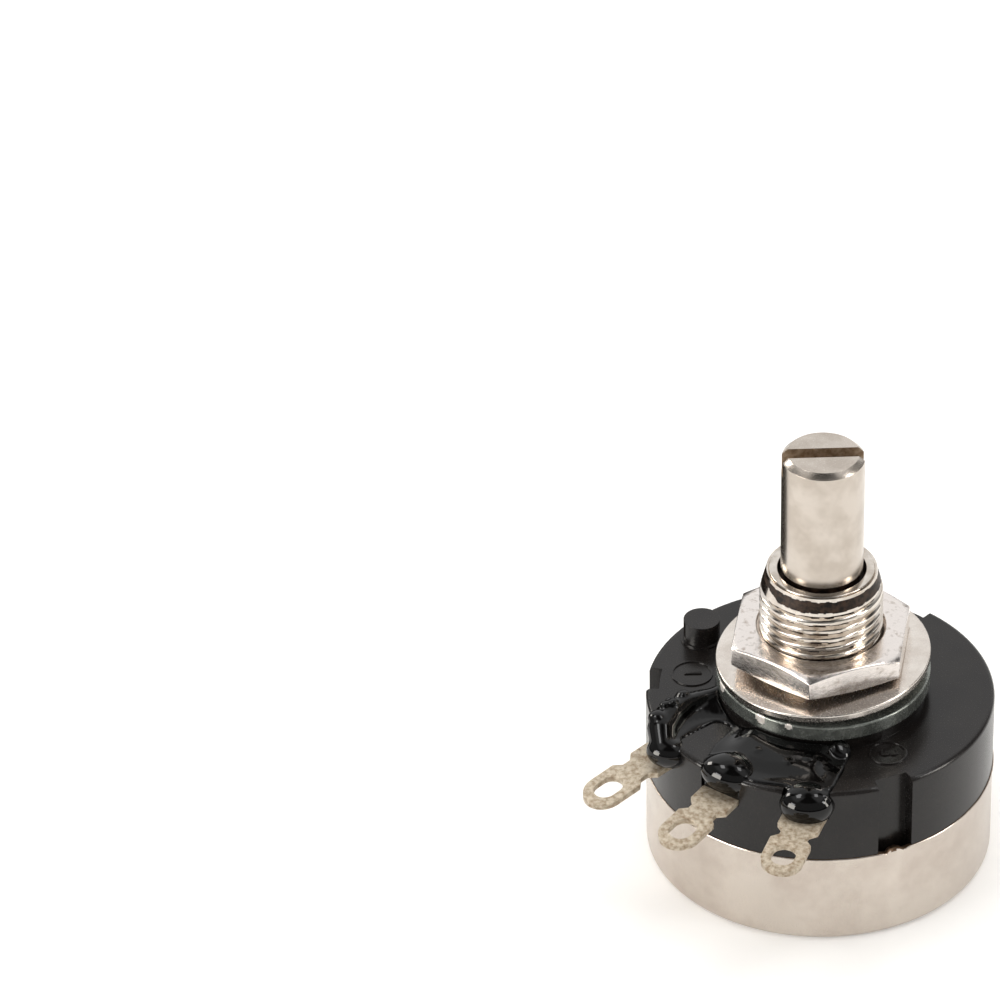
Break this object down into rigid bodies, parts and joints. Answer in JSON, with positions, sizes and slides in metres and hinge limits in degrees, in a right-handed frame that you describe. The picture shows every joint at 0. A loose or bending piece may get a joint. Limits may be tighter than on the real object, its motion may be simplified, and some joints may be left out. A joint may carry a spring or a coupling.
{
  "type": "rotary potentiometer",
  "caption": "Panel rotary potentiometer: round moulded cover on a metal can, threaded bushing with nut and washers, slotted shaft and solder lugs.",
  "frame": {"origin": "centre of the rear face of the metal can, on the shaft's axis", "axes": "+Z along the shaft towards its slotted end, -Y towards the middle solder lug, -X towards the locating lug"},
  "size_m": [0.0258, 0.0326, 0.0343],
  "materials": {
    "phenolic": "black moulded phenolic, satin, finely grained",
    "nickel_plate": "nickel plated steel sheet, satin, faintly scuffed",
    "nickel_brass": "turned brass with bright nickel plate",
    "silver_brass": "silver plated brass, tarnished to mottled beige",
    "resin": "black sealing resin, wet gloss",
    "zinc_steel": "zinc plated steel, grey with a green cast",
    "board": "phenolic paper board, brown, matt",
    "carbon": "carbon film and carbon brush, matt black",
    "bronze": "phosphor bronze strip, satin",
    "spring_steel": "oiled spring steel"
  },
  "bodies": {
    "case": {"housing": "phenolic", "rear_can": "nickel_plate", "bushing": "nickel_brass", "element_board": "board", "carbon_track": "carbon", "collector_ring": "silver_brass", "terminal_1": "silver_brass", "terminal_2": "silver_brass", "terminal_3": "silver_brass", "rivet_1": "silver_brass", "rivet_2": "silver_brass", "rivet_3": "silver_brass", "resin_bead_1": "resin", "resin_bead_2": "resin", "resin_bead_3": "resin", "resin_film": "resin", "zinc_washer": "zinc_steel", "plain_washer": "nickel_plate", "hex_nut": "nickel_brass", "thrust_washer": "bronze"},
    "rotor": {"shaft": "nickel_brass", "retaining_ring": "spring_steel", "stop_plate": "zinc_steel", "rotor_disc": "board", "wiper_spring": "bronze", "track_brush": "carbon", "ring_brush": "carbon"}
  },
  "joints": [
    {"name": "shaft_turn", "type": "hinge", "parent": "case", "child": "rotor", "pos_m": [0, 0, 0.0343], "axis": [0, 0, 1], "range_deg": [-188.5, 111.5]}
  ]
}
